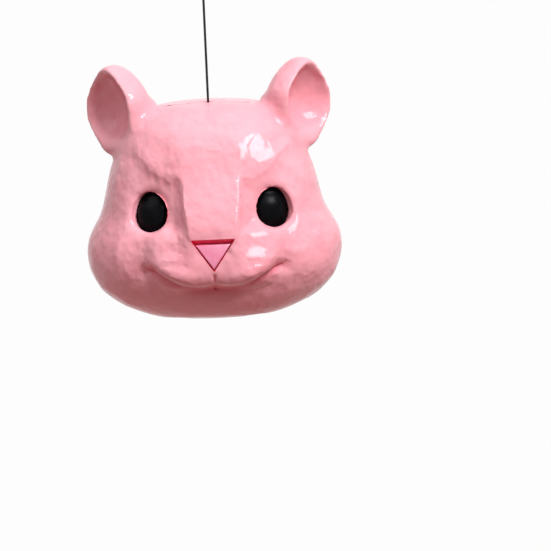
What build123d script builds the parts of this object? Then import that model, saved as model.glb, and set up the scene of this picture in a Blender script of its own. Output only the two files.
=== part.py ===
from build123d import *
import os
from math import acos, copysign, cos, degrees, radians, sin, tan

# A hollow squirrel head that hangs by a wire and feeds an animal through its open neck.
# Millimetres. +Z is up, the face looks along -Y, and the origin is the seat of the hanging hook.
# The head is drawn about its own zero, the mouth of the wire hole in the crown, and moved down at the end.

# Head form
HEAD_WIDTH = 160.0
HEAD_HEIGHT = 133.5
FACE_DEPTH = 56.0
NAPE_DEPTH = 84.0
WIDEST_SHARE = 0.4
FACE_SQUARENESS = 2.4
NAPE_SQUARENESS = 2.1
OUTLINE_POINTS = 16
WALL = 3.0

# Sections from crown to chin: drop, width, face depth and nape depth, as shares of the four sizes above
HEAD_PROFILE = [
    (0.000, 0.150, 0.09, 0.27),
    (0.009, 0.300, 0.21, 0.41),
    (0.029, 0.475, 0.38, 0.56),
    (0.080, 0.595, 0.56, 0.71),
    (0.168, 0.700, 0.72, 0.86),
    (0.277, 0.780, 0.83, 0.96),
    (0.409, 0.840, 0.90, 1.00),
    (0.520, 0.895, 0.94, 0.99),
    (0.620, 0.985, 0.98, 0.95),
    (0.710, 1.000, 1.00, 0.89),
    (0.800, 0.960, 0.98, 0.80),
    (0.870, 0.880, 0.91, 0.69),
    (0.925, 0.755, 0.82, 0.55),
    (0.965, 0.605, 0.72, 0.38),
    (0.990, 0.425, 0.62, 0.12),
    (1.000, 0.260, 0.54, -0.10),
]

# Muzzle: two lip lobes
LIP_SPREAD = 33.0
LIP_WIDTH = 62.0
LIP_DEPTH = 60.0
LIP_HEIGHT = 35.0
LIP_SET_FORWARD = 34.0
LIP_DROP = 99.5

# Bridge: a flat band from the forehead over the nose, with planes that fall away beside it
BRIDGE_FLARE = 12.0
BRIDGE_DEPTH = 16.0

# Its levels: drop, half width and set forward, as shares of the head's height, width and face depth
BRIDGE_PROFILE = [
    (0.100, 0.119, 0.530),
    (0.165, 0.119, 0.680),
    (0.270, 0.112, 0.825),
    (0.360, 0.108, 0.915),
    (0.434, 0.103, 1.018),
    (0.524, 0.094, 1.112),
    (0.600, 0.086, 1.153),
    (0.690, 0.081, 1.153),
    (0.757, 0.070, 1.120),
    (0.824, 0.050, 0.960),
]

# Mouth and philtrum grooves
MOUTH_WIDTH = 80.0
MOUTH_CORNER_DROP = 96.0
MOUTH_CENTRE_DROP = 112.0
MOUTH_GROOVE = 2.4
GROOVE_DEPTH = 1.8
PHILTRUM_WIDTH = 1.8

# Neck opening
NECK_RIM_FORWARD = 15.0
NECK_TILT = 25.0

# Eyes, in oval collars, spaced by a share of the head's width
EYE_SPREAD = 0.495
EYE_DROP = 63.4
EYE_TURN = 20.0
EYE_RISE = 10.0
EYE_WIDTH = 20.8
EYE_HEIGHT = 26.2
EYE_LOW_SHARE = 0.44
EYE_CLEARANCE = 0.35
EYE_RECESS = 1.5
EYE_FLANGE = 1.5
EYE_SHOULDER = 6.0
EYE_DOME_SPREAD = 1.28
ORBIT_WIDTH = 46.0
ORBIT_HOLLOW = 24.0
ORBIT_HEIGHT = 50.0
ORBIT_DEPTH = 3.5
COLLAR_WALL = 3.2
COLLAR_DEPTH = 11.0
CAP_WALL = 2.0
CAP_SKIRT = 4.0
CAP_CLEARANCE = 0.1

# Nose, in a triangular pocket
NOSE_DROP = 82.3
NOSE_WIDTH = 23.0
NOSE_HEIGHT = 16.5
NOSE_CORNER = 3.0
NOSE_GAP = 1.5
NOSE_POCKET = 5.0
NOSE_SEAT_GAP = 0.1
NOSE_SET_BACK = 0.4
NOSE_PAD = 4.0
NOSE_PAD_RIM = 3.0
NOSE_STEM = 5.0
NOSE_STEM_CLEARANCE = 0.1
PUSH_NUT_DIAMETER = 12.0
PUSH_NUT_THICKNESS = 1.0
PUSH_NUT_SLITS = 4
PUSH_NUT_SLIT_WIDTH = 0.8
STEM_SHOW = 2.0

# Ears, pegged to the face shell, spaced by a share of the head's width
EAR_SPREAD = 0.72
EAR_SET_BACK = 3.0
EAR_DROP = 4.0
EAR_TURN = 50.0
EAR_LEAN = 6.0
EAR_ACROSS = 48.0
EAR_HEIGHT = 59.0
EAR_THICKNESS = 40.0
EAR_RIM_SHARE = 0.41
EAR_RIM = 2.8
EAR_CUP_DEPTH = 11.0
EAR_CUP_RAISE = 4.0
EAR_FIT = 0.1
EAR_ROOT_WIDTH = 36.0
EAR_ROOT_DEPTH = 36.0
EAR_ROOT_HEIGHT = 42.0
EAR_ROOT_INWARD = 11.0
EAR_ROOT_DROP = 9.0
PEG_DIAMETER = 9.0
PEG_CLEARANCE = 0.15
PEG_BOSS = 15.0
PEG_BOSS_DEPTH = 8.0
PEG_END_GAP = 0.5
PEG_AIM_DROP = 60.0
PEG_SET_FORWARD = 9.5

# Screws
SCREW_DIAMETER = 3.0
SCREW_CLEARANCE = 0.15
SCREW_PILOT_CLEARANCE = 0.03
SCREW_HEAD = 5.6
SCREW_HEAD_HEIGHT = 2.2
SCREW_SLOT = 0.8
EAR_SCREW_HEAD = 12.0
EAR_SCREW_LENGTH = 9.0
POST_DIAMETER = 10.0
POST_WEB = 4.0
POST_WELL = 7.0
POST_UPPER_DROP = 38.0
POST_LOWER_DROP = 98.0
POST_INSET = 13.0
SHELL_SCREW_LENGTH = 15.0
PILOT_END_GAP = 1.0

# Hanger: washer and swaged ball under the crown
CROWN_HOLE = 5.0
CROWN_PAD = 9.0
CROWN_PAD_DIAMETER = 30.0
WASHER_DIAMETER = 24.0
WASHER_THICKNESS = 4.0
WASHER_HOLE = 3.2
WASHER_GAP = 0.1
BALL_DIAMETER = 6.0
BALL_CLEARANCE = 0.15
BALL_SHOW = 0.6

# Wire, ferrule and hook
WIRE_DIAMETER = 1.5
WIRE_DROP = 68.0
WIRE_FIT = 0.04
LOOP_HALF_WIDTH = 5.0
LOOP_LEG = 10.0
LOOP_NECK = 9.0
LOOP_TAIL = 5.0
HOOK_WIRE = 3.0
HOOK_TOP_RADIUS = 8.0
HOOK_LOW_RADIUS = 6.0
HOOK_SPAN = 34.0
HOOK_END_TURN = 10.0
LOOP_GAP = 0.1
FERRULE_LENGTH = 8.0
FERRULE_WALL = 0.9
BEND_SHARE = 0.45

# Feed cup in the chin
CUP_WIDTH = 60.0
CUP_LENGTH = 22.0
CUP_HEIGHT = 18.0
CUP_WALL = 1.8
CUP_RIM = 1.2
CUP_RIM_HEIGHT = 2.4
CUP_FLOOR_DROP = 120.0
CUP_SEAT_GAP = 0.1
CUP_STOP_GAP = 0.4
RAIL_SPACING = 32.0
RAIL_THICKNESS = 3.0
RAIL_STOP_HEIGHT = 4.0
RAIL_STOP_LENGTH = 2.4
RAIL_RIM_GAP = 2.0

# Lengths of tools that reach out of the head
BEYOND = 300.0
CUT_REACH = 30.0
POST_REACH = 100.0


# Shared forms

def ellipsoid(size, grow=0.0):
    return scale(Sphere(1.0), by=tuple(length / 2 + grow for length in size))


def head_section(drop, width, face, nape, inset):
    """One level outline of the head: a superellipse, squarer in front than behind."""
    half_width = width * HEAD_WIDTH / 2 - inset
    front = inset - face * FACE_DEPTH
    back = nape * NAPE_DEPTH - inset
    widest = front + WIDEST_SHARE * (back - front)
    points = []
    for index in range(OUTLINE_POINTS):
        angle = radians(90 + index * 360 / OUTLINE_POINTS)
        across = cos(angle)
        along = sin(angle)
        power = 2 / (FACE_SQUARENESS if along < 0 else NAPE_SQUARENESS)
        reach = back - widest if along > 0 else widest - front
        x = half_width * copysign(abs(across) ** power, across)
        y = widest + reach * copysign(abs(along) ** power, along)
        points.append((x, y))
    level = -inset - drop * (HEAD_HEIGHT - 2 * inset)
    return Plane.XY.offset(level) * make_face(Spline(points, periodic=True))


def skull_form(inset):
    return loft([head_section(*row, inset) for row in HEAD_PROFILE])


def both_sides(right):
    return [right, mirror(right, about=Plane.YZ)]


def front_hit(form, x, drop):
    """The first point of a form met by a line that comes from the front."""
    hits = form.find_intersection_points(Axis((x, -BEYOND, -drop), (0, 1, 0)))
    return min((point for point, normal in hits), key=lambda point: point.Y)


# Reference places on the skull

skull = skull_form(0.0)
eye_point = front_hit(skull, EYE_SPREAD * HEAD_WIDTH / 2, EYE_DROP)
eye_level = cos(radians(EYE_RISE))
eye_axis = Vector(
    sin(radians(EYE_TURN)) * eye_level,
    -cos(radians(EYE_TURN)) * eye_level,
    sin(radians(EYE_RISE)),
)
eye_across = Vector(cos(radians(EYE_TURN)), sin(radians(EYE_TURN)), 0)
eye_floor = Plane(eye_point - eye_axis * ORBIT_DEPTH, x_dir=eye_across, z_dir=eye_axis)


def bridge_section(drop, half_width, forward, inset):
    """One level of the bridge: its flat front and two flared sides."""
    half = half_width * HEAD_WIDTH - inset
    front = inset - forward * FACE_DEPTH
    rear = front + BRIDGE_DEPTH
    wide = half + BRIDGE_FLARE
    outline = Polyline((-half, front), (half, front), (wide, rear), (-wide, rear), close=True)
    return Plane.XY.offset(-drop * HEAD_HEIGHT) * make_face(outline)


def muzzle_form(inset):
    """The skull with its lips and the bridge of the nose, drawn in by an even wall."""
    lip = ellipsoid((LIP_WIDTH, LIP_DEPTH, LIP_HEIGHT), -inset)
    lip = Pos(LIP_SPREAD / 2, -LIP_SET_FORWARD, -LIP_DROP) * lip
    bridge = loft([bridge_section(*row, inset) for row in BRIDGE_PROFILE])
    return skull_form(inset) + [*both_sides(lip), bridge]


def head_form(inset):
    """The whole head, with its orbits too."""
    orbit = ellipsoid((ORBIT_WIDTH, ORBIT_HEIGHT, ORBIT_HOLLOW), inset)
    orbit = eye_floor * Pos(0, 0, ORBIT_HOLLOW / 2) * orbit
    return muzzle_form(inset) - both_sides(orbit)


outer = head_form(0.0)
inner = head_form(WALL)

neck_plane = Plane(
    (0, -NECK_RIM_FORWARD, -HEAD_HEIGHT),
    x_dir=(1, 0, 0),
    z_dir=(0, sin(radians(NECK_TILT)), -cos(radians(NECK_TILT))),
)
below_neck = neck_plane * Box(BEYOND, BEYOND, BEYOND, align=(Align.CENTER, Align.CENTER, Align.MIN))


# Eyes

def egg(width, height, grow=0.0):
    """An oval that is widest below its middle."""
    low = height * EYE_LOW_SHARE + grow
    high = height * (1 - EYE_LOW_SHARE) + grow
    half = width / 2 + grow
    rise = height * (EYE_LOW_SHARE - 0.5)
    upper = Ellipse(half, high) & Rectangle(4 * half, 4 * high, align=(Align.CENTER, Align.MIN))
    lower = Ellipse(half, low) & Rectangle(4 * half, 4 * low, align=(Align.CENTER, Align.MAX))
    return Pos(0, rise) * (upper + lower)


def eye_prism(grow, start, length):
    """An oval bar along the eye's axis, from a depth below the orbit's floor inwards."""
    return eye_floor * Pos(0, 0, -start - length) * extrude(egg(EYE_WIDTH, EYE_HEIGHT, grow), length)


def eye_collar():
    grow = EYE_FLANGE + 2 * EYE_CLEARANCE + COLLAR_WALL
    return eye_prism(grow, -ORBIT_DEPTH, ORBIT_DEPTH + COLLAR_DEPTH)


def eye_bore():
    start = -ORBIT_DEPTH - CUT_REACH
    front = eye_prism(EYE_CLEARANCE, start, COLLAR_DEPTH - start)
    rear = eye_prism(EYE_FLANGE + 2 * EYE_CLEARANCE, EYE_SHOULDER, COLLAR_DEPTH - EYE_SHOULDER)
    return front + rear


def eye():
    """A domed plug with a flange that stops on the collar's shoulder."""
    plug = eye_prism(0.0, EYE_RECESS, COLLAR_DEPTH - EYE_RECESS)
    dome_depth = COLLAR_DEPTH - EYE_RECESS
    rise = EYE_HEIGHT * (EYE_LOW_SHARE - 0.5) / 2
    dome = ellipsoid((EYE_WIDTH * EYE_DOME_SPREAD, EYE_HEIGHT * EYE_DOME_SPREAD, 2 * dome_depth))
    plug = plug & (eye_floor * Pos(0, rise, -COLLAR_DEPTH) * dome)
    return plug + eye_prism(EYE_FLANGE, EYE_SHOULDER, COLLAR_DEPTH - EYE_SHOULDER)


def eye_cap():
    """A shallow cap pressed over the collar's end, behind the eye."""
    collar = 2 * EYE_CLEARANCE + EYE_FLANGE + COLLAR_WALL
    cap = eye_prism(collar + CAP_WALL, COLLAR_DEPTH - CAP_SKIRT, CAP_SKIRT + CAP_WALL)
    return cap - eye_prism(collar + CAP_CLEARANCE, COLLAR_DEPTH - CAP_SKIRT, CAP_SKIRT)


# Nose

nose_middle_drop = NOSE_DROP + NOSE_HEIGHT / 2
nose_front = front_hit(outer, 0, nose_middle_drop)
nose_plane = Plane(nose_front, x_dir=(1, 0, 0), z_dir=(0, -1, 0))


def triangle(grow):
    """The nose's outline, point down, with rounded corners."""
    half = NOSE_WIDTH / 2 - NOSE_CORNER
    top = NOSE_HEIGHT / 2 - NOSE_CORNER
    outline = Polyline((-half, top), (half, top), (0, -top), close=True)
    return offset(make_face(outline), NOSE_CORNER + grow, kind=Kind.ARC)


def nose_prism(grow, start, length):
    return nose_plane * Pos(0, 0, -start - length) * extrude(triangle(grow), length)


nose_floor = NOSE_POCKET
nose_pad_end = NOSE_POCKET + NOSE_PAD


def nose_stem(diameter, start, end):
    low = (Align.CENTER, Align.CENTER, Align.MIN)
    return nose_plane * Pos(0, 0, -end) * Cylinder(diameter / 2, end - start, align=low)


def nose():
    body = nose_prism(0.0, NOSE_SET_BACK, nose_floor - NOSE_SEAT_GAP - NOSE_SET_BACK)
    end = nose_pad_end + PUSH_NUT_THICKNESS + STEM_SHOW
    return body + nose_stem(NOSE_STEM, nose_floor - NOSE_SEAT_GAP, end)


def nose_push_nut():
    end = nose_pad_end + PUSH_NUT_THICKNESS
    nut = nose_stem(PUSH_NUT_DIAMETER, nose_pad_end, end)
    nut = nut - nose_stem(NOSE_STEM + NOSE_STEM_CLEARANCE, nose_pad_end, end)
    slit_length = (PUSH_NUT_DIAMETER + NOSE_STEM) / 4
    outward = (Align.MIN, Align.CENTER, Align.CENTER)
    slit = Box(slit_length, PUSH_NUT_SLIT_WIDTH, 2 * PUSH_NUT_THICKNESS, align=outward)
    for index in range(PUSH_NUT_SLITS):
        turn = Rot(0, 0, index * 360 / PUSH_NUT_SLITS)
        nut = nut - nose_plane * Pos(0, 0, -end + PUSH_NUT_THICKNESS / 2) * turn * slit
    return nut


# Ears

ear_out = EAR_SPREAD * HEAD_WIDTH / 2
ear_centre = Vector(ear_out, EAR_SET_BACK, -EAR_DROP)
ear_plane = Plane(
    ear_centre,
    x_dir=(cos(radians(EAR_TURN)), sin(radians(EAR_TURN)), 0),
    z_dir=(sin(radians(EAR_TURN)), -cos(radians(EAR_TURN)), 0),
)
peg_start = Vector(ear_out, -PEG_SET_FORWARD, -EAR_DROP)
peg_aim = Vector(0, -PEG_SET_FORWARD, -PEG_AIM_DROP)
peg_axis = (peg_aim - peg_start).normalized()
peg_hits = skull.find_intersection_points(Axis(peg_start, peg_axis))
peg_entry = min((point for point, normal in peg_hits), key=lambda point: (point - peg_start).length)
peg_plane = Plane(peg_entry, z_dir=peg_axis)


def peg_bar(diameter, start, end):
    """A round bar along the ear's peg, measured inwards from the head's surface."""
    low = (Align.CENTER, Align.CENTER, Align.MIN)
    return peg_plane * Pos(0, 0, start) * Cylinder(diameter / 2, end - start, align=low)


def ear():
    """A cupped ear with a flat lip, shaped to the head and pegged into it."""
    lean = ear_plane * Rot(0, 0, -EAR_LEAN)
    rim_level = EAR_RIM_SHARE * EAR_THICKNESS / 2
    body = ellipsoid((EAR_ACROSS, EAR_HEIGHT, EAR_THICKNESS))
    trim = Pos(0, 0, rim_level) * Box(BEYOND, BEYOND, BEYOND, align=(Align.CENTER, Align.CENTER, Align.MIN))
    rim_scale = (1 - EAR_RIM_SHARE ** 2) ** 0.5
    scoop_across = EAR_ACROSS * rim_scale - 2 * EAR_RIM
    scoop_height = EAR_HEIGHT * rim_scale - 2 * EAR_RIM - 2 * EAR_CUP_RAISE
    scoop = Pos(0, EAR_CUP_RAISE, rim_level) * ellipsoid((scoop_across, scoop_height, 2 * EAR_CUP_DEPTH))
    root_place = ear_centre - Vector(EAR_ROOT_INWARD, 0, EAR_ROOT_DROP)
    root = Pos(*root_place) * ellipsoid((EAR_ROOT_WIDTH, EAR_ROOT_DEPTH, EAR_ROOT_HEIGHT))
    cup = lean * (body - trim) + root - lean * scoop
    cup = cup - skull_form(-EAR_FIT)
    peg = peg_bar(PEG_DIAMETER, -WALL, PEG_BOSS_DEPTH - PEG_END_GAP)
    return cup.solids().sort_by(SortBy.VOLUME)[-1] + peg


# Screws

def slotted_screw(head, length):
    """A pan-head screw with its seat at zero and its shank along +Z."""
    low = (Align.CENTER, Align.CENTER, Align.MIN)
    high = (Align.CENTER, Align.CENTER, Align.MAX)
    body = Cylinder(SCREW_DIAMETER / 2, length, align=low)
    body = body + Cylinder(head / 2, SCREW_HEAD_HEIGHT, align=high)
    slot = Pos(0, 0, -SCREW_HEAD_HEIGHT) * Box(BEYOND, SCREW_SLOT, SCREW_SLOT)
    return body - slot


def ear_screw():
    screw = slotted_screw(EAR_SCREW_HEAD, EAR_SCREW_LENGTH)
    return peg_plane * Pos(0, 0, PEG_BOSS_DEPTH) * Rot(180, 0, 0) * screw


def ear_screw_hole():
    start = PEG_BOSS_DEPTH - EAR_SCREW_LENGTH - PILOT_END_GAP
    return peg_bar(SCREW_DIAMETER + 2 * SCREW_PILOT_CLEARANCE, start, PEG_BOSS_DEPTH)


# Posts of the shell screws

def post_place(drop):
    """How far out a post stands, measured from the head's side at the seam."""
    hits = skull.find_intersection_points(Axis((0, 0, -drop), (1, 0, 0)))
    return max(point.X for point, normal in hits) - POST_INSET


post_places = [(post_place(drop), drop) for drop in (POST_UPPER_DROP, POST_LOWER_DROP)]


def post_bar(place, diameter, start, end):
    """A round bar along Y at a post, between two distances behind the seam."""
    x, drop = place
    low = (Align.CENTER, Align.CENTER, Align.MIN)
    return Pos(x, start, -drop) * Rot(-90, 0, 0) * Cylinder(diameter / 2, end - start, align=low)


def shell_screw(place):
    x, drop = place
    return Pos(x, POST_WEB, -drop) * Rot(90, 0, 0) * slotted_screw(SCREW_HEAD, SHELL_SCREW_LENGTH)


# Hanger under the crown

washer_top = -CROWN_PAD - WASHER_GAP
washer_bottom = washer_top - WASHER_THICKNESS
ball_level = washer_bottom - BALL_SHOW


def upright(diameter, bottom, top):
    low = (Align.CENTER, Align.CENTER, Align.MIN)
    return Pos(0, 0, bottom) * Cylinder(diameter / 2, top - bottom, align=low)


def hanger_washer():
    washer = upright(WASHER_DIAMETER, washer_bottom, washer_top)
    washer = washer - upright(WASHER_HOLE, washer_bottom, washer_top)
    return washer - Pos(0, 0, ball_level) * Sphere(BALL_DIAMETER / 2 + BALL_CLEARANCE)


def stop_ball():
    ball = Pos(0, 0, ball_level) * Sphere(BALL_DIAMETER / 2)
    bore = WIRE_DIAMETER + 2 * WIRE_FIT
    return ball - upright(bore, ball_level - BALL_DIAMETER, ball_level + BALL_DIAMETER)


# Feed cup and its rails

cup_back = -NECK_RIM_FORWARD - RAIL_RIM_GAP - RAIL_STOP_LENGTH - CUP_STOP_GAP
cup_middle = cup_back - CUP_LENGTH / 2


def cup_bar(grow, bottom_drop, height):
    face = Ellipse(CUP_WIDTH / 2 + grow, CUP_LENGTH / 2 + grow)
    return Pos(0, cup_middle, -bottom_drop) * extrude(face, height)


def food_cup():
    bottom = CUP_FLOOR_DROP - CUP_SEAT_GAP
    cup = cup_bar(0.0, bottom, CUP_HEIGHT)
    cup = cup + cup_bar(CUP_RIM, bottom - CUP_HEIGHT + CUP_RIM_HEIGHT, CUP_RIM_HEIGHT)
    return cup - cup_bar(-CUP_WALL, bottom - CUP_WALL, CUP_HEIGHT)


def cup_rails():
    """Two ribs on the chin's floor, each with a low stop behind the cup."""
    rear = -NECK_RIM_FORWARD - RAIL_RIM_GAP
    length = CUP_LENGTH + CUP_STOP_GAP + RAIL_STOP_LENGTH
    stand = HEAD_HEIGHT - CUP_FLOOR_DROP
    rails = []
    for side in (-1, 1):
        rib = Pos(side * RAIL_SPACING / 2, rear, -CUP_FLOOR_DROP) * Box(
            RAIL_THICKNESS, length, stand, align=(Align.CENTER, Align.MAX, Align.MAX)
        )
        stop = Pos(side * RAIL_SPACING / 2, rear, -CUP_FLOOR_DROP) * Box(
            RAIL_THICKNESS, RAIL_STOP_LENGTH, RAIL_STOP_HEIGHT, align=(Align.CENTER, Align.MAX, Align.MIN)
        )
        rails = rails + [rib, stop]
    return rails


# Shells

def grooves():
    """The smile and the philtrum, cut to an even depth below the skin."""
    half = MOUTH_WIDTH / 2
    low = ThreePointArc(
        (-half, -MOUTH_CORNER_DROP - MOUTH_GROOVE / 2),
        (0, -MOUTH_CENTRE_DROP - MOUTH_GROOVE / 2),
        (half, -MOUTH_CORNER_DROP - MOUTH_GROOVE / 2),
    )
    high = ThreePointArc(
        (half, -MOUTH_CORNER_DROP + MOUTH_GROOVE / 2),
        (0, -MOUTH_CENTRE_DROP + MOUTH_GROOVE / 2),
        (-half, -MOUTH_CORNER_DROP + MOUTH_GROOVE / 2),
    )
    smile = make_face([low, Line(low @ 1, high @ 0), high, Line(high @ 1, low @ 0)])
    philtrum_top = NOSE_DROP + NOSE_HEIGHT
    philtrum = Pos(0, -philtrum_top) * Rectangle(
        PHILTRUM_WIDTH, MOUTH_CENTRE_DROP - philtrum_top, align=(Align.CENTER, Align.MAX)
    )
    band = extrude(Plane.XZ * (smile + philtrum), 2 * FACE_DEPTH)
    return band - muzzle_form(GROOVE_DEPTH)


def inside_pieces():
    """Collars, pads, posts and rails that stand in the cavity."""
    pieces = both_sides(eye_collar())
    pieces = pieces + both_sides(peg_bar(PEG_BOSS, -WALL, PEG_BOSS_DEPTH))
    pieces = pieces + [nose_prism(NOSE_GAP + NOSE_PAD_RIM, -WALL, WALL + nose_pad_end)]
    pieces = pieces + [upright(CROWN_PAD_DIAMETER, -CROWN_PAD, 0)]
    for place in post_places:
        pieces = pieces + both_sides(post_bar(place, POST_DIAMETER, -POST_REACH, POST_REACH))
    return pieces + cup_rails()


def openings():
    """Every bore, pocket and well that is cut from the finished walls."""
    cuts = both_sides(eye_bore())
    cuts = cuts + both_sides(peg_bar(PEG_DIAMETER + 2 * PEG_CLEARANCE, -CUT_REACH, PEG_BOSS_DEPTH))
    cuts = cuts + [nose_prism(NOSE_GAP, -CUT_REACH, CUT_REACH + nose_floor)]
    cuts = cuts + [nose_stem(NOSE_STEM + NOSE_STEM_CLEARANCE, 0, nose_pad_end)]
    cuts = cuts + [upright(CROWN_HOLE, -CROWN_PAD, CUT_REACH)]
    for place in post_places:
        pilot_start = POST_WEB - SHELL_SCREW_LENGTH - PILOT_END_GAP
        pilot = post_bar(place, SCREW_DIAMETER + 2 * SCREW_PILOT_CLEARANCE, pilot_start, 0)
        hole = post_bar(place, SCREW_DIAMETER + 2 * SCREW_CLEARANCE, 0, POST_WEB)
        well = post_bar(place, POST_WELL, POST_WEB, POST_REACH)
        for cut in (pilot, hole, well):
            cuts = cuts + both_sides(cut)
    return cuts + [below_neck, grooves()]


def shells():
    """The head less its cavity and its openings, parted at the seam."""
    cavity = inner - inside_pieces()
    hollow = outer - [cavity, *openings()]
    front = split(hollow, bisect_by=Plane.XZ, keep=Keep.TOP)
    back = split(hollow, bisect_by=Plane.XZ, keep=Keep.BOTTOM)
    return front, back


# Hook, wire and ferrule, in the part's own frame

hook_top_centre = -HOOK_TOP_RADIUS
hook_low_centre = hook_top_centre - HOOK_SPAN
hook_low_wire = hook_low_centre - HOOK_LOW_RADIUS - HOOK_WIRE / 2
loop_top = hook_low_wire + HOOK_WIRE / 2 + WIRE_DIAMETER / 2 + LOOP_GAP
loop_neck = loop_top - LOOP_LEG - LOOP_NECK
ferrule_top = loop_neck - LOOP_TAIL
ferrule_bottom = ferrule_top - FERRULE_LENGTH
crown_level = ferrule_bottom - WIRE_DROP
wire_end = crown_level + ball_level - BALL_DIAMETER / 2
tail_offset = WIRE_DIAMETER + 2 * WIRE_FIT


def s_hook():
    """Two bends joined by their crossing tangent, bent in the YZ plane."""
    top_radius = HOOK_TOP_RADIUS + HOOK_WIRE / 2
    low_radius = HOOK_LOW_RADIUS + HOOK_WIRE / 2
    swing = degrees(acos((top_radius + low_radius) / HOOK_SPAN))
    top = CenterArc((0, hook_top_centre), top_radius, 180 + HOOK_END_TURN, -(270 + HOOK_END_TURN - swing))
    low = CenterArc((0, hook_low_centre), low_radius, 90 + swing, 270 + HOOK_END_TURN - swing)
    path = Plane.YZ * Wire([top, Line(top @ 1, low @ 0), low])
    wire = sweep(Plane(path @ 0, z_dir=path % 0) * Circle(HOOK_WIRE / 2), path)
    ends = [Pos(path @ end) * Sphere(HOOK_WIRE / 2) for end in (0, 1)]
    return wire + ends


wire_route = [
    (0, 0, wire_end),
    (0, 0, loop_neck),
    (-LOOP_HALF_WIDTH, 0, loop_top - LOOP_LEG),
    (-LOOP_HALF_WIDTH, 0, loop_top),
    (LOOP_HALF_WIDTH, 0, loop_top),
    (LOOP_HALF_WIDTH, 0, loop_top - LOOP_LEG),
    (tail_offset, 0, loop_neck),
    (tail_offset, 0, ferrule_bottom),
]


def corner_radii(points):
    """Bend radii as large as the two runs at each corner allow."""
    radii = []
    for before, here, after in zip(points, points[1:], points[2:]):
        first = Vector(here) - Vector(before)
        second = Vector(after) - Vector(here)
        half_turn = radians(first.get_angle(second)) / 2
        radii.append(BEND_SHARE * min(first.length, second.length) / tan(half_turn))
    return radii


def hanging_wire():
    radii = corner_radii(wire_route)
    path = FilletPolyline(wire_route, radius=radii)
    wire = sweep(Plane(wire_route[0], z_dir=(0, 0, 1)) * Circle(WIRE_DIAMETER / 2), path)
    section = Circle(WIRE_DIAMETER / 2).area
    print("wire radii", [round(radius, 1) for radius in radii])
    print("wire length", round(path.length, 1))
    print("wire volume share", round(wire.volume / (section * path.length), 4))
    return wire


def loop_ferrule():
    """A flat oval sleeve swaged over the wire and its tail."""
    bore = WIRE_DIAMETER + 2 * WIRE_FIT
    outside = WIRE_DIAMETER + 2 * FERRULE_WALL
    section = SlotOverall(tail_offset + outside, outside) - SlotOverall(tail_offset + bore, bore)
    return Pos(tail_offset / 2, 0, ferrule_bottom) * extrude(section, FERRULE_LENGTH)


# All the nodes

right_eye, left_eye = both_sides(eye())
right_cap, left_cap = both_sides(eye_cap())
right_ear, left_ear = both_sides(ear() - ear_screw_hole())
face_shell, back_shell = shells()
screws = []
for place in post_places:
    screws = screws + both_sides(shell_screw(place))

head_nodes = {
    "face_shell": face_shell,
    "back_shell": back_shell,
    "left_ear": left_ear,
    "right_ear": right_ear,
    "left_eye": left_eye,
    "right_eye": right_eye,
    "left_eye_cap": left_cap,
    "right_eye_cap": right_cap,
    "nose": nose(),
    "nose_push_nut": nose_push_nut(),
    "shell_screws": Compound(children=screws),
    "ear_screws": Compound(children=both_sides(ear_screw())),
    "hanger_washer": hanger_washer(),
    "stop_ball": stop_ball(),
    "food_cup": food_cup(),
}
hanger_nodes = {
    "s_hook": s_hook(),
    "hanging_wire": hanging_wire(),
    "loop_ferrule": loop_ferrule(),
}

os.makedirs("parts", exist_ok=True)
for name, shape in head_nodes.items():
    export_step(Pos(0, 0, crown_level) * shape, f"parts/{name}.step")
for name, shape in hanger_nodes.items():
    export_step(shape, f"parts/{name}.step")
print("crown level", round(crown_level, 2), "ball level", round(crown_level + ball_level, 2))
print("hook low wire", round(hook_low_wire, 2), "ferrule", round(ferrule_bottom, 2), round(ferrule_top, 2))
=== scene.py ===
import math

import bmesh
import bpy
import numpy as np
from mathutils import Matrix, Vector
from mathutils.bvhtree import BVHTree
from mathutils.kdtree import KDTree


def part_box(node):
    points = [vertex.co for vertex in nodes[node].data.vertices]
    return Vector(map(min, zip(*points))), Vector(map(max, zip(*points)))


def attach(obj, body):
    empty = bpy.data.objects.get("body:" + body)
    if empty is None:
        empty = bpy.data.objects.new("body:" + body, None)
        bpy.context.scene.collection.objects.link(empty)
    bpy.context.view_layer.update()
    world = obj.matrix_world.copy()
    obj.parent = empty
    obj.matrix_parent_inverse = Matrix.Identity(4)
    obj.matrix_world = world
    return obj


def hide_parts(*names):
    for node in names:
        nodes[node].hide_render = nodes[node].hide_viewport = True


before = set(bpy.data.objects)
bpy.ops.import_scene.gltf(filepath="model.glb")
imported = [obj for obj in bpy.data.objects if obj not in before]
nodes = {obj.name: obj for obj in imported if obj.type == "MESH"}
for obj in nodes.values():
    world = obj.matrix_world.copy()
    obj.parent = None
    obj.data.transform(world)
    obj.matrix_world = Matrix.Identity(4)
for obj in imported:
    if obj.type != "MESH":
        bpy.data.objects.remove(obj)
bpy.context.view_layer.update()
scene = bpy.context.scene

# Levels of the hanging head, in metres
CROWN = -0.14715
FLOOR = -2.0

# Forms are carved in millimetres about the wire hole. Voxels, bevels and new meshes are in metres
MM = 1000


# Camera: a long lens, a little above the face, with the head's crown leaning left

CAMERA_FAR = 2.4
CAMERA_RISE = math.radians(8)
CAMERA_LEAN = math.radians(2.5)
CAMERA_END = 50
VIEW_WIDTH = 0.3465
CENTRE_RIGHT = 0.0424
CENTRE_DOWN = 0.1095

look = Vector((0, math.cos(CAMERA_RISE), -math.sin(CAMERA_RISE)))
level_right = Vector((1, 0, 0))
level_up = level_right.cross(look)
right = level_right * math.cos(CAMERA_LEAN) - level_up * math.sin(CAMERA_LEAN)
up = level_up * math.cos(CAMERA_LEAN) + level_right * math.sin(CAMERA_LEAN)
aim = Vector((0, 0, CROWN)) + right * CENTRE_RIGHT - up * CENTRE_DOWN

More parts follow.
